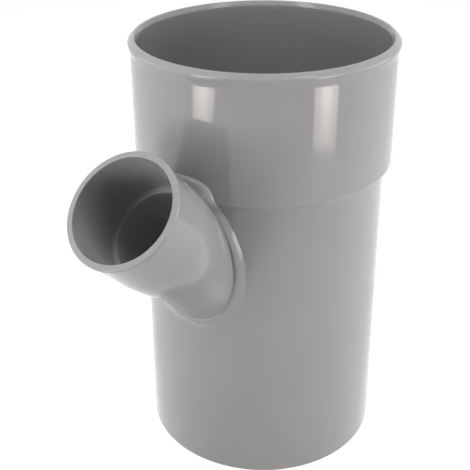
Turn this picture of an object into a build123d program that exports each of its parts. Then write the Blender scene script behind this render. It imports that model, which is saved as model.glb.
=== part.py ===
from build123d import *
import math
import os

# Pipe tee: a 45 degree branch with a socket on top, a spigot below and a smaller socket on its side.
# The origin is the centre of the spigot's end face. +Z runs up the main run, and the branch leans towards -X.
# All sizes are in millimetres.

# Main run
spigot_radius = 50.0
spigot_wall = 3.2
overall_height = 180.0
spigot_end_chamfer = 0.8
spigot_bore_chamfer = 0.6
spigot_plain_length = 68.6
body_swell = 0.1

# Main socket, which takes a spigot of the same size
socket_depth = 50.0
socket_slack = 0.2
socket_wall = 3.0
step_drop = 1.15
step_edge_chamfer = 0.4
mouth_lead_in = 0.6
mouth_lead_length = 4.0
mouth_edge_round = 0.8

# Lip round the main mouth
lip_rise = 0.9
lip_height = 4.0
lip_taper = 3.5
lip_round = 2.2

# Branch
branch_angle = 45.0
branch_stand_off = 53.1
branch_pipe_radius = 20.0
branch_slack = 0.1
branch_socket_depth = 26.0
branch_socket_wall = 1.9
branch_bore_radius = 17.5
branch_root_wall = 2.5
branch_cone_length = 13.0
branch_cone_setback = 3.0
branch_cone_round = 12.0
branch_lead_in = 0.2
branch_lead_length = 1.2

# Lip round the branch's mouth
branch_lip_rise = 0.7
branch_lip_height = 1.7
branch_lip_chamfer = 0.4
branch_lip_fade = 0.6

# Collar round the branch's root
collar_height = 2.0
collar_width = 2.0
collar_flare = 3.5
collar_edge_round = 1.4
collar_step_run = 12.0
collar_step_round = 20.0

# Sizes that follow from the ones above
waterway_radius = spigot_radius - spigot_wall
socket_bore_radius = spigot_radius + socket_slack
socket_outer_radius = socket_bore_radius + socket_wall
stop_height = overall_height - socket_depth
step_height = stop_height - step_drop
body_radius = spigot_radius + body_swell
step_foot_height = step_height - (socket_outer_radius - body_radius)
lip_radius = socket_outer_radius + lip_rise

# The branch, measured along its own axis from where that axis crosses the main one.
# Its mouth stands off from the spigot's wall, and its collar leaves the spigot's end plain.
lean = math.radians(branch_angle)
wall_crossing = spigot_radius / math.sin(lean)
branch_length = wall_crossing + branch_stand_off
branch_socket_radius = branch_pipe_radius + branch_slack
branch_barrel_radius = branch_socket_radius + branch_socket_wall
branch_root_radius = branch_bore_radius + branch_root_wall
branch_lip_radius = branch_barrel_radius + branch_lip_rise
branch_stop = branch_length - branch_socket_depth
cone_top = branch_stop - branch_cone_setback
cone_foot = cone_top - branch_cone_length

collar_foot_radius = branch_root_radius + collar_width
collar_foot = wall_crossing - collar_foot_radius / math.tan(lean)
crossing_height = spigot_plain_length - spigot_radius / math.tan(lean) + collar_foot_radius / math.sin(lean)

# How far a cutting shape reaches past the face that it opens
reach = spigot_radius


def turned(points, rounds=()):
    """A solid turned about Z from (radius, height) points, with some corners rounded by (point, radius)."""
    outline = make_face(Polyline(*points, close=True))
    for corner, radius in rounds:
        vertex = outline.vertices().sort_by_distance(Vector(*corner))[0]
        outline = fillet(vertex, radius)
    upright = Plane.XZ * outline
    return revolve(upright, Axis.Z, 360)


def main_run():
    """The outside of the spigot, the step under the socket, the socket and its lip."""
    lip_foot = overall_height - lip_height
    spigot_end = (spigot_radius, spigot_end_chamfer)
    spigot_top = (spigot_radius, spigot_plain_length)
    step_foot = (body_radius, step_foot_height)
    step_edge_below = (socket_outer_radius - step_edge_chamfer, step_height - step_edge_chamfer)
    step_edge_above = (socket_outer_radius, step_height + step_edge_chamfer)
    lip_fade = (socket_outer_radius, lip_foot - lip_taper)
    lip_edge = (lip_radius, lip_foot)
    rim_edge = (lip_radius, overall_height)
    outline = [
        (0, 0),
        (spigot_radius - spigot_end_chamfer, 0),
        spigot_end,
        spigot_top,
        step_foot,
        step_edge_below,
        step_edge_above,
        lip_fade,
        lip_edge,
        rim_edge,
        (0, overall_height),
    ]
    return turned(outline, [(lip_fade, lip_taper), (rim_edge, lip_round)])


def main_waterway():
    """The socket's bore with its rounded mouth and lead-in, the stop, and the bore through the spigot."""
    mouth_radius = socket_bore_radius + mouth_lead_in
    mouth_edge = (mouth_radius, overall_height)
    outline = [
        (0, -reach),
        (waterway_radius + spigot_bore_chamfer + reach, -reach),
        (waterway_radius, spigot_bore_chamfer),
        (waterway_radius, stop_height),
        (socket_bore_radius, stop_height),
        (socket_bore_radius, overall_height - mouth_lead_length),
        mouth_edge,
        (mouth_radius + reach, overall_height),
        (mouth_radius + reach, overall_height + reach),
        (0, overall_height + reach),
    ]
    return turned(outline, [(mouth_edge, mouth_edge_round)])


def branch_outside():
    """The branch's root, the cone up to its socket, the barrel and its lip, upright on its own axis."""
    lip_foot = branch_length - branch_lip_height
    barrel_end = lip_foot - branch_lip_fade
    cone_foot_corner = (branch_root_radius, cone_foot)
    cone_top_corner = (branch_barrel_radius, cone_top)
    outline = [
        (0, 0),
        (branch_root_radius, 0),
        cone_foot_corner,
        cone_top_corner,
        (branch_barrel_radius, barrel_end),
        (branch_lip_radius, lip_foot),
        (branch_lip_radius, branch_length - branch_lip_chamfer),
        (branch_lip_radius - branch_lip_chamfer, branch_length),
        (0, branch_length),
    ]
    rounds = [
        (cone_foot_corner, branch_cone_round),
        (cone_top_corner, branch_cone_round),
    ]
    return turned(outline, rounds)


def branch_waterway():
    """The branch's socket with its lead-in, the stop, and the bore down to the main run."""
    mouth_radius = branch_socket_radius + branch_lead_in
    outline = [
        (0, 0),
        (branch_bore_radius, 0),
        (branch_bore_radius, branch_stop),
        (branch_socket_radius, branch_stop),
        (branch_socket_radius, branch_length - branch_lead_length),
        (mouth_radius, branch_length),
        (mouth_radius, branch_length + reach),
        (0, branch_length + reach),
    ]
    return turned(outline)


def collar_cone():
    """The collar's outer wall, a slender cone about the branch's axis."""
    spread = math.tan(math.radians(collar_flare))
    outline = [
        (0, 0),
        (collar_foot_radius - collar_foot * spread, 0),
        (collar_foot_radius + (branch_length - collar_foot) * spread, branch_length),
        (0, branch_length),
    ]
    return turned(outline)


def collar_face():
    """The collar's top face: it follows the run at the collar's height and swells gently over the step."""
    low_radius = spigot_radius + collar_height
    high_radius = socket_outer_radius + collar_height
    step_middle = (step_foot_height + step_height) / 2
    swell_foot = (low_radius, step_middle - collar_step_run / 2)
    swell_top = (high_radius, step_middle + collar_step_run / 2)
    outline = [
        (0, spigot_end_chamfer),
        (low_radius, spigot_end_chamfer),
        swell_foot,
        swell_top,
        (high_radius, overall_height - lip_height - lip_taper),
        (0, overall_height - lip_height - lip_taper),
    ]
    return turned(outline, [(swell_foot, collar_step_round), (swell_top, collar_step_round)])


def on_branch(solid):
    """Leans an upright solid about the crossing of the two axes, so that it lies along the branch."""
    return Pos(0, 0, crossing_height) * Rot(0, -branch_angle, 0) * solid


def branch_side(solid):
    """What lies on the branch's side of the main axis, so that the branch leaves the far wall alone."""
    span = 2 * (overall_height + branch_length)
    return solid & Pos(-span / 2, 0, 0) * Box(span, span, span)


def collar():
    """A band round the branch's root that rides over the step, with its outer edge rounded."""
    band = branch_side(on_branch(collar_cone()) & collar_face())
    outer_edge = band.edges().filter_by(GeomType.BSPLINE)
    return fillet(outer_edge, collar_edge_round)


# One moulding: the run, the branch and its collar, then both waterways opened through it
pipe_tee = main_run() + branch_side(on_branch(branch_outside())) + collar()
pipe_tee = pipe_tee - main_waterway() - branch_side(on_branch(branch_waterway()))

os.makedirs("parts", exist_ok=True)
export_step(pipe_tee, "parts/pipe_tee.step")
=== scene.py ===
import math

import bmesh
import bpy
from mathutils import Matrix, Vector


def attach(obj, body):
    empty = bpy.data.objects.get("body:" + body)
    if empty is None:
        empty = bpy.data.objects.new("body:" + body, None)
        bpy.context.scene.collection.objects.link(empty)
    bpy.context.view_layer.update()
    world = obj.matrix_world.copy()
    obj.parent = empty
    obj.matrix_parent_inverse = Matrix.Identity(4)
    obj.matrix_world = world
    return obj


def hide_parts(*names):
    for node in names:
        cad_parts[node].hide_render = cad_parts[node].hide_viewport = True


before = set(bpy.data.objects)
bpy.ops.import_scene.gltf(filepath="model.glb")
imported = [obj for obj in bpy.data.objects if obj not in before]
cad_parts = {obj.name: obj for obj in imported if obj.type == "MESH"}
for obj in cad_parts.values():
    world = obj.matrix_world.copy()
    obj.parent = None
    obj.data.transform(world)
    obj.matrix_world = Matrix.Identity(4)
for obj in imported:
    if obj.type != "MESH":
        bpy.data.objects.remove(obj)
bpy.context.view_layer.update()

# Pipe tee: one grey plastic moulding, modelled again here with finer rounding than the frame has.
# All sizes are in metres. The origin is the centre of the spigot's end, +Z runs up the main run,
# and the branch leans towards -X.

# Main run
SPIGOT_RADIUS = 0.0500
SPIGOT_PLAIN_LENGTH = 0.0686
BODY_RADIUS = 0.0501
WATERWAY_RADIUS = 0.0468
SPIGOT_END_CHAMFER = 0.0008
SPIGOT_END_ROUND = SPIGOT_END_CHAMFER / 3
OVERALL_HEIGHT = 0.1800

# Main socket, its step and its lip
SOCKET_RADIUS = 0.0532
SOCKET_BORE_RADIUS = 0.0502
STOP_HEIGHT = 0.1300
STOP_ROUND = 0.0003
STEP_HEIGHT = 0.12885
STEP_ROUND = 0.0006
STEP_FOOT_ROUND = 0.0003
MOUTH_RADIUS = 0.0514
MOUTH_CHAMFER_FOOT = 0.0504
MOUTH_CHAMFER_HEIGHT = 0.0018
MOUTH_LEAD_LENGTH = 0.0040
MOUTH_ROUND = 0.0003
LIP_RADIUS = 0.0541
LIP_CROWN_RADIUS = 0.0523
LIP_BAND = 0.0017
LIP_SWELL = 0.0044
LIP_ROUND = 0.0006
LIP_CROWN_ROUND = 0.0004

# Branch, upright on its own axis, measured from where that axis crosses the main one
BRANCH_ANGLE = math.radians(45)
CROSSING_HEIGHT = 0.049713
BRANCH_LENGTH = 0.123811
BRANCH_ROOT_RADIUS = 0.0194
BRANCH_BARREL_RADIUS = 0.0220
BRANCH_BORE_RADIUS = 0.0175
BRANCH_SOCKET_RADIUS = 0.0201
BRANCH_SOCKET_DEPTH = 0.0260
BRANCH_MOUTH_RADIUS = 0.0203
BRANCH_LEAD_LENGTH = 0.0012
BRANCH_CONE_LENGTH = 0.0165
BRANCH_CONE_SETBACK = 0.0030
BRANCH_CONE_ROUND = BRANCH_CONE_LENGTH / 2.1  # the rounds at its two ends almost meet
BRANCH_LIP_RADIUS = 0.0227
BRANCH_LIP_HEIGHT = 0.0017
BRANCH_LIP_FADE = 0.0006
BRANCH_LIP_ROUND = 0.0005
BRANCH_LIP_FOOT_ROUND = 0.00025

# Collar round the branch's root. Its edge is given by (degrees round the branch from its upper
# side, radius). On the socket it is wider, and there its top slopes down from the branch. On the
# spigot it has a shoulder that rises to a crest near the branch, and a slanting flank outside that.
COLLAR_EDGE = ((0, 0.0248), (25, 0.0260), (37, 0.0237), (60, 0.0233), (90, 0.0228), (180, 0.0219))
COLLAR_ON_SOCKET = (25, 37)
COLLAR_HEIGHT = 0.0020
COLLAR_RISE_ON_SOCKET = 0.0015
COLLAR_INNER_RADIUS = 0.0192
COLLAR_SHOULDER_WIDTH = 0.0014
COLLAR_SHOULDER_DEPTH = 0.0007
COLLAR_CREST_ROUND = 0.22
COLLAR_FLANK_DEPTH = 0.0030
COLLAR_DEPTH = 0.0090  # its underside ends inside the run, also below the step
COLLAR_STEP_RUN = 0.0060
COLLAR_STEP_ROUND = 0.0018
COLLAR_RING_GROWTH = 1.02

# How finely round forms are divided
RUN_SIDES = 384
BRANCH_SIDES = 256
SWELL_STEPS = 12
COLLAR_STEPS = 10
FAINT_ROUND_STEPS = 2
SMALL_ROUND_STEPS = 3
ROUND_STEPS = 4
BRANCH_LIP_STEPS = 5
LIP_STEPS = 6
COLLAR_SWELL_STEPS = 8
CONE_STEPS = 12

# How far a cutting shape reaches past what it opens, and how near counts as the same place
CUT_REACH = SPIGOT_RADIUS / 2
NEAR = 0.000001
QUARTER_TURN = math.pi / 2
SMOOTH_ANGLE = math.radians(30)

# Grey plastic
PLASTIC_TONE = (0.335, 0.337, 0.343, 1)
PLASTIC_CLOUDING = 0.015
PLASTIC_STREAKING = 0.010
PLASTIC_ROUGHNESS_LOW = 0.07
PLASTIC_ROUGHNESS_HIGH = 0.11
PLASTIC_WAVE_DEPTH = 0.00010
PLASTIC_GRAIN_DEPTH = 0.000002
PLASTIC_IOR = 1.5

# Its random patterns, as (scale in patterns per metre, detail), and the middle range that is used
CLOUDS = (25, 3)
STREAKS = (350, 2)
STREAK_STRETCH = (1, 1, 0.04)
SHEEN = (90, 4)
WAVES = (45, 1)
GRAIN = (1800, 2)
PATTERN_LOW = 0.3
PATTERN_HIGH = 0.7

# Camera, where the photograph was taken from
CAMERA_AROUND = math.radians(-55.91)
CAMERA_DISTANCE = 0.357334
CAMERA_HEIGHT = 0.281175
CAMERA_AZIMUTH = math.radians(-53.16)
CAMERA_PITCH = 0.450
CAMERA_ROLL = -0.012
CAMERA_LENS = 70.69
CAMERA_SENSOR = 36.0
CAMERA_SHIFT = (0.0264, -0.0854)
CAMERA_NEAREST = 0.01

# Floor and surround. The floor's grey is what the lamps light, and its glow is what looks white.
WHITE = (1, 1, 1, 1)
FLOOR_SIZE = 6.0
FLOOR_COLOUR = (0.5, 0.5, 0.5, 1)
FLOOR_GLOW = 0.92
FLOOR_SHADE = (0.28, 0.28, 0.28, 1)

# Lights. Radiance is how bright a lamp's face is, where 1 is white.
SOFTBOX_COLOUR = (1.0, 0.965, 0.93)
STRIP_COLOUR = (1.0, 0.93, 0.88)
SOFTBOX_LAYER_GAP = 0.001
OVERHEAD_COLOUR = (0.97, 0.96, 1.0)
OVERHEAD_SIZE = 0.5
OVERHEAD_HEIGHT = 1.0
OVERHEAD_RADIANCE = 6.4

# Softboxes as (name, degrees to the camera's right, distance, width, top, feet, radiance, colour)
SOFTBOXES = (
    ("left softbox", -48, 0.420, 0.140, 0.90, (0,), 3.5, SOFTBOX_COLOUR),
    ("left foot", -48, 0.415, 0.140, 0.12, (0.010, 0.030), 2.8, STRIP_COLOUR),
    ("left core", -48, 0.410, 0.060, 0.12, (0.005, 0.020, 0.035), 4.3, STRIP_COLOUR),
    ("left panel", -89, 0.600, 0.620, 0.30, (0,), 2.2, SOFTBOX_COLOUR),
    ("right softbox", 50, 0.330, 0.116, 0.90, (0,), 2.4, SOFTBOX_COLOUR),
    ("right foot", 50, 0.325, 0.116, 0.12, (0.015, 0.045), 2.9, STRIP_COLOUR),
    ("right core", 50, 0.320, 0.048, 0.12, (0.010, 0.035, 0.060), 4.0, STRIP_COLOUR),
    ("right panel", 89, 0.600, 0.620, 0.30, (0,), 3.1, SOFTBOX_COLOUR),
)


def eased(value, start, end):
    """Goes smoothly from 0 to 1 as a value goes from start to end."""
    share = min(max((value - start) / (end - start), 0), 1)
    return share ** 2 * (3 - 2 * share)


def choose(piece):
    """Makes one piece the only one selected."""
    bpy.ops.object.select_all(action="DESELECT")
    piece.select_set(True)
    bpy.context.view_layer.objects.active = piece


def turned_solid(name, rings, sides):
    """A closed round solid: a disc at the first ring, extruded and resized to each ring after it.
    A ring is (radius, height)."""
    bpy.ops.object.select_all(action="DESELECT")
    radius, height = rings[0]
    bpy.ops.mesh.primitive_circle_add(
        vertices=sides, radius=radius, fill_type="NGON", location=(0, 0, height)
    )
    piece = bpy.context.object
    piece.name = name
    bpy.ops.object.transform_apply(location=True, rotation=True, scale=True)
    bpy.ops.object.mode_set(mode="EDIT")
    bpy.ops.mesh.select_all(action="SELECT")
    for next_radius, next_height in rings[1:]:
        rise = (0, 0, next_height - height)
        bpy.ops.mesh.extrude_region_move(TRANSFORM_OT_translate={"value": rise})
        grow = next_radius / radius
        bpy.ops.transform.resize(value=(grow, grow, 1), center_override=(0, 0, next_height))
        radius, height = next_radius, next_height
    bpy.ops.mesh.select_all(action="SELECT")
    bpy.ops.mesh.normals_make_consistent(inside=False)
    bpy.ops.object.mode_set(mode="OBJECT")
    return piece


def round_ring(piece, radius, height, width, steps):
    """Bevels the ring of edges at this radius and height."""
    choose(piece)
    bpy.ops.object.mode_set(mode="EDIT")
    bpy.ops.mesh.select_mode(type="EDGE")
    bpy.ops.mesh.select_all(action="DESELECT")
    mesh = bmesh.from_edit_mesh(piece.data)
    for edge in mesh.edges:
        edge.select = all(
            abs(math.hypot(end.co.x, end.co.y) - radius) < NEAR and abs(end.co.z - height) < NEAR
            for end in edge.verts
        )
    bmesh.update_edit_mesh(piece.data)
    bpy.ops.mesh.bevel(offset=width, segments=steps, affect="EDGES", clamp_overlap=True)
    bpy.ops.object.mode_set(mode="OBJECT")


def combine(piece, other, operation):
    """Joins or cuts one solid with another, which is used up."""
    choose(piece)
    modifier = piece.modifiers.new("combine", "BOOLEAN")
    modifier.operation = operation
    modifier.solver = "EXACT"
    modifier.object = other
    bpy.ops.object.modifier_apply(modifier=modifier.name)
    bpy.data.objects.remove(other)


def merge_doubles(piece):
    """Merges vertices that lie in the same place, as joining and cutting leaves some."""
    choose(piece)
    bpy.ops.object.mode_set(mode="EDIT")
    bpy.ops.mesh.select_all(action="SELECT")
    bpy.ops.mesh.remove_doubles(threshold=NEAR)
    bpy.ops.mesh.normals_make_consistent(inside=False)
    bpy.ops.object.mode_set(mode="OBJECT")


def lean(piece):
    """Leans an upright piece so that it lies along the branch's axis."""
    choose(piece)
    piece.rotation_euler = (0, -BRANCH_ANGLE, 0)
    piece.location = (0, 0, CROSSING_HEIGHT)
    bpy.ops.object.transform_apply(location=True, rotation=True, scale=True)


def main_run():
    """The outside of the spigot, the step, the socket and its lip."""
    step_foot = STEP_HEIGHT - (SOCKET_RADIUS - BODY_RADIUS)
    swell_foot = OVERALL_HEIGHT - LIP_BAND - LIP_SWELL
    rings = [
        (SPIGOT_RADIUS - SPIGOT_END_CHAMFER, 0),
        (SPIGOT_RADIUS, SPIGOT_END_CHAMFER),
        (SPIGOT_RADIUS, SPIGOT_PLAIN_LENGTH),
        (BODY_RADIUS, step_foot),
        (SOCKET_RADIUS, STEP_HEIGHT),
    ]
    for step in range(SWELL_STEPS + 1):
        share = step / SWELL_STEPS
        radius = SOCKET_RADIUS + (LIP_RADIUS - SOCKET_RADIUS) * eased(share, 0, 1)
        rings.append((radius, swell_foot + LIP_SWELL * share))
    rings.append((LIP_CROWN_RADIUS, OVERALL_HEIGHT))
    piece = turned_solid("run", rings, RUN_SIDES)
    round_ring(piece, LIP_CROWN_RADIUS, OVERALL_HEIGHT, LIP_CROWN_ROUND, ROUND_STEPS)
    round_ring(piece, LIP_RADIUS, OVERALL_HEIGHT - LIP_BAND, LIP_ROUND, LIP_STEPS)
    round_ring(piece, SOCKET_RADIUS, STEP_HEIGHT, STEP_ROUND, ROUND_STEPS)
    round_ring(piece, BODY_RADIUS, step_foot, STEP_FOOT_ROUND, FAINT_ROUND_STEPS)
    round_ring(piece, SPIGOT_RADIUS, SPIGOT_END_CHAMFER, SPIGOT_END_ROUND, SMALL_ROUND_STEPS)
    return piece


def main_waterway():
    """What is cut from the run: the bore, the stop, and the socket's bore with its lead-in and
    rounded mouth."""
    chamfer_foot = OVERALL_HEIGHT - MOUTH_CHAMFER_HEIGHT
    rings = [
        (WATERWAY_RADIUS + SPIGOT_END_CHAMFER + CUT_REACH, -CUT_REACH),
        (WATERWAY_RADIUS + SPIGOT_END_CHAMFER, 0),
        (WATERWAY_RADIUS, SPIGOT_END_CHAMFER),
        (WATERWAY_RADIUS, STOP_HEIGHT),
        (SOCKET_BORE_RADIUS, STOP_HEIGHT),
        (SOCKET_BORE_RADIUS, OVERALL_HEIGHT - MOUTH_LEAD_LENGTH),
        (MOUTH_CHAMFER_FOOT, chamfer_foot),
        (MOUTH_RADIUS, OVERALL_HEIGHT),
        (MOUTH_RADIUS + CUT_REACH, OVERALL_HEIGHT),
        (MOUTH_RADIUS + CUT_REACH, OVERALL_HEIGHT + CUT_REACH),
    ]
    piece = turned_solid("run_bore", rings, RUN_SIDES)
    round_ring(piece, MOUTH_RADIUS, OVERALL_HEIGHT, MOUTH_ROUND, ROUND_STEPS)
    round_ring(piece, MOUTH_CHAMFER_FOOT, chamfer_foot, MOUTH_ROUND, ROUND_STEPS)
    round_ring(piece, WATERWAY_RADIUS, STOP_HEIGHT, STOP_ROUND, SMALL_ROUND_STEPS)
    return piece


def branch_outside():
    """The branch's root, the cone up to its socket, the barrel and its lip, upright."""
    cone_top = BRANCH_LENGTH - BRANCH_SOCKET_DEPTH - BRANCH_CONE_SETBACK
    cone_foot = cone_top - BRANCH_CONE_LENGTH
    lip_foot = BRANCH_LENGTH - BRANCH_LIP_HEIGHT
    barrel_end = lip_foot - BRANCH_LIP_FADE
    rings = [
        (BRANCH_ROOT_RADIUS, 0),
        (BRANCH_ROOT_RADIUS, cone_foot),
        (BRANCH_BARREL_RADIUS, cone_top),
        (BRANCH_BARREL_RADIUS, barrel_end),
        (BRANCH_LIP_RADIUS, lip_foot),
        (BRANCH_LIP_RADIUS, BRANCH_LENGTH),
    ]
    piece = turned_solid("branch", rings, BRANCH_SIDES)
    round_ring(piece, BRANCH_LIP_RADIUS, BRANCH_LENGTH, BRANCH_LIP_ROUND, BRANCH_LIP_STEPS)
    round_ring(piece, BRANCH_LIP_RADIUS, lip_foot, BRANCH_LIP_FOOT_ROUND, FAINT_ROUND_STEPS)
    round_ring(piece, BRANCH_BARREL_RADIUS, barrel_end, BRANCH_LIP_ROUND, SMALL_ROUND_STEPS)
    round_ring(piece, BRANCH_BARREL_RADIUS, cone_top, BRANCH_CONE_ROUND, CONE_STEPS)
    round_ring(piece, BRANCH_ROOT_RADIUS, cone_foot, BRANCH_CONE_ROUND, CONE_STEPS)
    return piece


def branch_waterway():
    """What is cut from the branch: its bore, the stop, and its socket with a lead-in."""
    stop = BRANCH_LENGTH - BRANCH_SOCKET_DEPTH
    rings = [
        (BRANCH_BORE_RADIUS, 0),
        (BRANCH_BORE_RADIUS, stop),
        (BRANCH_SOCKET_RADIUS, stop),
        (BRANCH_SOCKET_RADIUS, BRANCH_LENGTH - BRANCH_LEAD_LENGTH),
        (BRANCH_MOUTH_RADIUS, BRANCH_LENGTH),
        (BRANCH_MOUTH_RADIUS + CUT_REACH, BRANCH_LENGTH + CUT_REACH),
    ]
    piece = turned_solid("branch_bore", rings, BRANCH_SIDES)
    round_ring(piece, BRANCH_BORE_RADIUS, stop, STOP_ROUND, SMALL_ROUND_STEPS)
    return piece


def collar_guide():
    """The surface that the collar's top follows: it stands off the run by the collar's height, and
    swells gently over the step."""
    low = SPIGOT_RADIUS + COLLAR_HEIGHT
    high = SOCKET_RADIUS + COLLAR_HEIGHT
    step_middle = STEP_HEIGHT - (SOCKET_RADIUS - BODY_RADIUS) / 2
    swell_foot = step_middle - COLLAR_STEP_RUN / 2
    swell_top = step_middle + COLLAR_STEP_RUN / 2
    rings = [(low, 0), (low, swell_foot), (high, swell_top), (high, OVERALL_HEIGHT)]
    piece = turned_solid("guide", rings, RUN_SIDES)
    round_ring(piece, low, swell_foot, COLLAR_STEP_ROUND, COLLAR_SWELL_STEPS)
    round_ring(piece, high, swell_top, COLLAR_STEP_ROUND, COLLAR_SWELL_STEPS)
    return piece


def collar_edge(degrees):
    """The radius of the collar's outer edge at an angle round the branch."""
    radius = COLLAR_EDGE[0][1]
    for (start, low), (end, high) in zip(COLLAR_EDGE, COLLAR_EDGE[1:]):
        radius += (high - low) * eased(degrees, start, end)
    return radius


def crested(out):
    """Goes from 0 to 1 as a value does, in a straight line after a round start."""
    return (math.hypot(out, COLLAR_CREST_ROUND) - COLLAR_CREST_ROUND) / (
        math.hypot(1, COLLAR_CREST_ROUND) - COLLAR_CREST_ROUND
    )


def collar_profile(angle):
    """The collar's top at an angle round the branch, from its inside out, as points of
    (radius, drop below the guide)."""
    degrees = abs(math.degrees(angle))
    on_socket = 1 - eased(degrees, *COLLAR_ON_SOCKET)
    rise = COLLAR_RISE_ON_SOCKET * on_socket
    crest = COLLAR_INNER_RADIUS + COLLAR_SHOULDER_WIDTH * (1 - on_socket / 2)
    width = collar_edge(degrees) - crest
    points = []
    for step in range(COLLAR_STEPS):
        turn = QUARTER_TURN * step / COLLAR_STEPS
        radius = crest - (crest - COLLAR_INNER_RADIUS) * math.cos(turn)
        drop = COLLAR_SHOULDER_DEPTH * (1 - math.sin(turn)) * (1 - on_socket) - rise
        points.append((radius, drop))
    for step in range(COLLAR_STEPS + 1):
        turn = QUARTER_TURN * step / COLLAR_STEPS
        out = math.sin(turn)
        rolled = 1 - math.cos(turn)
        slanting = crested(out)
        fall = slanting + (rolled - slanting) * on_socket
        drop = COLLAR_FLANK_DEPTH * fall - rise * (1 - out)
        points.append((crest + width * out, drop))
    return points


def collar(guide):
    """A band round the branch's root: a flat ring that gets the collar's profile, is laid on the
    guide along the branch's axis, and is thickened. Its sides are turned by half a side from the
    branch's, so that no edge meets another edge."""
    bpy.ops.object.select_all(action="DESELECT")
    bpy.ops.mesh.primitive_circle_add(
        vertices=BRANCH_SIDES,
        radius=COLLAR_INNER_RADIUS,
        fill_type="NOTHING",
        rotation=(0, 0, math.pi / BRANCH_SIDES),
    )
    piece = bpy.context.object
    piece.name = "collar"
    bpy.ops.object.transform_apply(location=True, rotation=True, scale=True)
    bpy.ops.object.mode_set(mode="EDIT")
    bpy.ops.mesh.select_all(action="SELECT")
    for _ in collar_profile(0)[1:]:
        bpy.ops.mesh.extrude_edges_move()
        bpy.ops.transform.resize(
            value=(COLLAR_RING_GROWTH, COLLAR_RING_GROWTH, 1), center_override=(0, 0, 0)
        )
    bpy.ops.object.mode_set(mode="OBJECT")

    # The growth tells which ring a vertex is in
    drops = []
    for vertex in piece.data.vertices:
        growth = math.hypot(vertex.co.x, vertex.co.y) / COLLAR_INNER_RADIUS
        angle = math.atan2(vertex.co.y, vertex.co.x)
        radius, drop = collar_profile(angle)[round(math.log(growth, COLLAR_RING_GROWTH))]
        vertex.co = (radius * math.cos(angle), radius * math.sin(angle), BRANCH_LENGTH)
        drops.append(drop)
    piece.rotation_euler = (0, -BRANCH_ANGLE, 0)
    piece.location = (0, 0, CROSSING_HEIGHT)
    laid = piece.modifiers.new("laid", "SHRINKWRAP")
    laid.target = guide
    laid.wrap_method = "PROJECT"
    laid.use_project_z = True
    laid.use_positive_direction = False
    laid.use_negative_direction = True
    bpy.context.view_layer.update()
    bpy.ops.object.modifier_apply(modifier=laid.name)
    for vertex, drop in zip(piece.data.vertices, drops):
        vertex.co.z -= drop

    bpy.ops.object.mode_set(mode="EDIT")
    bpy.ops.mesh.select_all(action="SELECT")
    bpy.ops.mesh.extrude_region_move()
    mesh = bmesh.from_edit_mesh(piece.data)
    for vertex in mesh.verts:
        if vertex.select:
            vertex.co.z -= COLLAR_DEPTH
    bmesh.update_edit_mesh(piece.data)
    bpy.ops.mesh.select_all(action="SELECT")
    bpy.ops.mesh.normals_make_consistent(inside=False)
    bpy.ops.object.mode_set(mode="OBJECT")
    return piece


def tee():
    """The whole moulding as one closed piece."""
    piece = main_run()
    branch = branch_outside()
    lean(branch)
    combine(piece, branch, "UNION")
    guide = collar_guide()
    band = collar(guide)
    bpy.data.objects.remove(guide)
    lean(band)
    combine(piece, band, "UNION")
    combine(piece, main_waterway(), "DIFFERENCE")
    bore = branch_waterway()
    lean(bore)
    combine(piece, bore, "DIFFERENCE")
    merge_doubles(piece)
    bpy.ops.object.shade_smooth_by_angle(angle=SMOOTH_ANGLE)
    piece.name = "moulded_tee"
    return piece


def give(links, value, socket):
    """Gives a socket a value, which may be another node's output."""
    if isinstance(value, bpy.types.NodeSocket):
        links.new(value, socket)
    else:
        socket.default_value = value


def calculate(nodes, links, operation, *values):
    """The result of a sum on values, which may be numbers or other nodes' outputs."""
    sum_node = nodes.new("ShaderNodeMath")
    sum_node.operation = operation
    for value, socket in zip(values, sum_node.inputs):
        give(links, value, socket)
    return sum_node.outputs[0]


def noise(nodes, links, place, scale, detail):
    """A soft random pattern over a place, from 0 to 1. The scale is in patterns per metre."""
    pattern = nodes.new("ShaderNodeTexNoise")
    pattern.inputs["Scale"].default_value = scale
    pattern.inputs["Detail"].default_value = detail
    links.new(place, pattern.inputs["Vector"])
    return pattern.outputs["Fac"]


def spread(nodes, links, value, low, high):
    """Spreads the middle of a random pattern between two values."""
    span = nodes.new("ShaderNodeMapRange")
    span.inputs["From Min"].default_value = PATTERN_LOW
    span.inputs["From Max"].default_value = PATTERN_HIGH
    links.new(value, span.inputs["Value"])
    give(links, low, span.inputs["To Min"])
    give(links, high, span.inputs["To Max"])
    return span.outputs["Result"]


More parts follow.
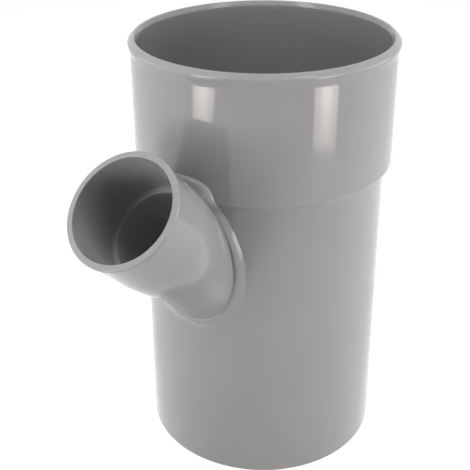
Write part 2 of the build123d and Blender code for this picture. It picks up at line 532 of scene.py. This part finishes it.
def moulded_surface():
    """A node group for moulded plastic: faint clouds and flow streaks, an uneven sheen, and gentle
    waves with grain."""
    group = bpy.data.node_groups.new("moulded surface", "ShaderNodeTree")
    for name, kind in (
        ("Place", "NodeSocketVector"),
        ("Tone", "NodeSocketColor"),
        ("Clouding", "NodeSocketFloat"),
        ("Streaking", "NodeSocketFloat"),
        ("Sheen Low", "NodeSocketFloat"),
        ("Sheen High", "NodeSocketFloat"),
        ("Wave Depth", "NodeSocketFloat"),
        ("Grain Depth", "NodeSocketFloat"),
    ):
        group.interface.new_socket(name, in_out="INPUT", socket_type=kind)
    for name, kind in (
        ("Colour", "NodeSocketColor"),
        ("Roughness", "NodeSocketFloat"),
        ("Normal", "NodeSocketVector"),
    ):
        group.interface.new_socket(name, in_out="OUTPUT", socket_type=kind)
    nodes, links = group.nodes, group.links
    given = nodes.new("NodeGroupInput")
    result = nodes.new("NodeGroupOutput")
    place = given.outputs["Place"]

    drawn_out = nodes.new("ShaderNodeVectorMath")
    drawn_out.operation = "MULTIPLY"
    drawn_out.inputs[1].default_value = STREAK_STRETCH
    links.new(place, drawn_out.inputs[0])
    clouds = noise(nodes, links, place, *CLOUDS)
    streaks = noise(nodes, links, drawn_out.outputs["Vector"], *STREAKS)
    brightness = 1
    for pattern, amount in ((clouds, "Clouding"), (streaks, "Streaking")):
        change = spread(nodes, links, pattern, -1, 1)
        brightness = calculate(
            nodes, links, "MULTIPLY_ADD", change, given.outputs[amount], brightness
        )
    colour = nodes.new("ShaderNodeVectorMath")
    colour.operation = "SCALE"
    links.new(given.outputs["Tone"], colour.inputs[0])
    links.new(brightness, colour.inputs["Scale"])
    links.new(colour.outputs["Vector"], result.inputs["Colour"])

    sheen = noise(nodes, links, place, *SHEEN)
    roughness = spread(nodes, links, sheen, given.outputs["Sheen Low"], given.outputs["Sheen High"])
    links.new(roughness, result.inputs["Roughness"])

    normal = None
    for pattern, depth in ((GRAIN, "Grain Depth"), (WAVES, "Wave Depth")):
        bump = nodes.new("ShaderNodeBump")
        links.new(noise(nodes, links, place, *pattern), bump.inputs["Height"])
        links.new(given.outputs[depth], bump.inputs["Distance"])
        if normal:
            links.new(normal, bump.inputs["Normal"])
        normal = bump.outputs["Normal"]
    links.new(normal, result.inputs["Normal"])
    return group


def grey_plastic():
    """Glossy grey moulded plastic."""
    material = bpy.data.materials.new("grey plastic")
    material.use_nodes = True
    nodes, links = material.node_tree.nodes, material.node_tree.links
    surface = nodes.new("ShaderNodeGroup")
    surface.node_tree = moulded_surface()
    surface.inputs["Tone"].default_value = PLASTIC_TONE
    surface.inputs["Clouding"].default_value = PLASTIC_CLOUDING
    surface.inputs["Streaking"].default_value = PLASTIC_STREAKING
    surface.inputs["Sheen Low"].default_value = PLASTIC_ROUGHNESS_LOW
    surface.inputs["Sheen High"].default_value = PLASTIC_ROUGHNESS_HIGH
    surface.inputs["Wave Depth"].default_value = PLASTIC_WAVE_DEPTH
    surface.inputs["Grain Depth"].default_value = PLASTIC_GRAIN_DEPTH
    place = nodes.new("ShaderNodeTexCoord")
    links.new(place.outputs["Object"], surface.inputs["Place"])
    shader = nodes["Principled BSDF"]
    shader.inputs["IOR"].default_value = PLASTIC_IOR
    links.new(surface.outputs["Colour"], shader.inputs["Base Color"])
    links.new(surface.outputs["Roughness"], shader.inputs["Roughness"])
    links.new(surface.outputs["Normal"], shader.inputs["Normal"])
    return material


def camera():
    """The camera at the photograph's place."""
    data = bpy.data.cameras.new("camera")
    data.sensor_width = CAMERA_SENSOR
    data.lens = CAMERA_LENS
    data.shift_x, data.shift_y = CAMERA_SHIFT
    data.clip_start = CAMERA_NEAREST
    seen_from = bpy.data.objects.new("camera", data)
    bpy.context.scene.collection.objects.link(seen_from)
    turn = Matrix.Rotation(CAMERA_AZIMUTH, 4, "Z")
    tilt = Matrix.Rotation(QUARTER_TURN - CAMERA_PITCH, 4, "X")
    roll = Matrix.Rotation(CAMERA_ROLL, 4, "Z")
    around = Matrix.Rotation(CAMERA_AROUND, 4, "Z")
    place = around @ Vector((0, -CAMERA_DISTANCE, CAMERA_HEIGHT))
    seen_from.matrix_world = Matrix.Translation(place) @ turn @ tilt @ roll
    bpy.context.scene.camera = seen_from


def area_light(name, width, height, radiance, colour):
    """A rectangular soft light, still at the origin and facing down. The camera does not see it."""
    data = bpy.data.lights.new(name, "AREA")
    data.shape = "RECTANGLE"
    data.size = width
    data.size_y = height
    data.energy = radiance * math.pi * width * height
    data.color = colour
    light = bpy.data.objects.new(name, data)
    bpy.context.scene.collection.objects.link(light)
    light.visible_camera = False
    return light


def softbox(name, azimuth, distance, width, top, feet, radiance, colour):
    """An upright soft light that faces the run. With several feet it fades towards the floor, as
    it then has layers that start at those heights. The layers stand a little apart, because lamps
    in one plane take light from each other."""
    around = CAMERA_AROUND + math.radians(azimuth)
    for layer, foot in enumerate(feet):
        stand = distance - layer * SOFTBOX_LAYER_GAP
        light = area_light(name, width, top - foot, radiance / len(feet), colour)
        light.location = (stand * math.sin(around), -stand * math.cos(around), (foot + top) / 2)
        light.rotation_euler = (QUARTER_TURN, 0, around)


def overhead_light():
    """A soft fill from above that makes no highlight of its own."""
    light = area_light(
        "overhead light", OVERHEAD_SIZE, OVERHEAD_SIZE, OVERHEAD_RADIANCE, OVERHEAD_COLOUR
    )
    light.location = (0, 0, OVERHEAD_HEIGHT)
    light.visible_glossy = False


def white_for_camera(nodes, links, lit, white, where=1):
    """Mixes a lit shader with a white one that only camera, glossy and transmission rays see,
    where a mask is 1."""
    rays = nodes.new("ShaderNodeLightPath")
    seen = calculate(
        nodes, links, "MAXIMUM", rays.outputs["Is Camera Ray"], rays.outputs["Is Glossy Ray"]
    )
    seen = calculate(nodes, links, "MAXIMUM", seen, rays.outputs["Is Transmission Ray"])
    seen = calculate(nodes, links, "MULTIPLY", seen, where)
    mix = nodes.new("ShaderNodeMixShader")
    links.new(seen, mix.inputs[0])
    links.new(lit, mix.inputs[1])
    links.new(white, mix.inputs[2])
    return mix.outputs[0]


def studio_world():
    """A surround that looks white where it is seen or reflected. The lamps give all the light."""
    world = bpy.data.worlds.new("studio")
    bpy.context.scene.world = world
    world.use_nodes = True
    nodes, links = world.node_tree.nodes, world.node_tree.links
    dark = nodes["Background"]
    dark.inputs["Strength"].default_value = 0
    white = nodes.new("ShaderNodeBackground")
    white.inputs["Color"].default_value = WHITE
    white.inputs["Strength"].default_value = 1
    seen = white_for_camera(nodes, links, dark.outputs[0], white.outputs[0])
    links.new(seen, nodes["World Output"].inputs["Surface"])


def studio_floor():
    """A floor that looks white and keeps a soft shadow of the object. Inside the pipe it has no
    glow."""
    bpy.ops.object.select_all(action="DESELECT")
    bpy.ops.mesh.primitive_plane_add(size=FLOOR_SIZE)
    floor = bpy.context.object
    floor.name = "floor"
    material = bpy.data.materials.new("pale floor")
    material.use_nodes = True
    nodes, links = material.node_tree.nodes, material.node_tree.links
    nodes.remove(nodes["Principled BSDF"])
    lit = nodes.new("ShaderNodeBsdfDiffuse")
    lit.inputs["Color"].default_value = FLOOR_COLOUR
    shaded = nodes.new("ShaderNodeBsdfDiffuse")
    shaded.inputs["Color"].default_value = FLOOR_SHADE
    glow = nodes.new("ShaderNodeEmission")
    glow.inputs["Strength"].default_value = FLOOR_GLOW
    white = nodes.new("ShaderNodeAddShader")
    links.new(shaded.outputs[0], white.inputs[0])
    links.new(glow.outputs[0], white.inputs[1])
    place = nodes.new("ShaderNodeTexCoord")
    distance = nodes.new("ShaderNodeVectorMath")
    distance.operation = "LENGTH"
    links.new(place.outputs["Object"], distance.inputs[0])
    outside = calculate(nodes, links, "GREATER_THAN", distance.outputs["Value"], WATERWAY_RADIUS)
    seen = white_for_camera(nodes, links, lit.outputs[0], white.outputs[0], outside)
    links.new(seen, nodes["Material Output"].inputs["Surface"])
    floor.data.materials.append(material)


moulded_tee = tee()
moulded_tee.data.materials.clear()
moulded_tee.data.materials.append(grey_plastic())
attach(moulded_tee, "root")
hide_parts("pipe_tee")

camera()
for values in SOFTBOXES:
    softbox(*values)
overhead_light()
studio_world()
studio_floor()
bpy.context.scene.view_settings.view_transform = "Standard"
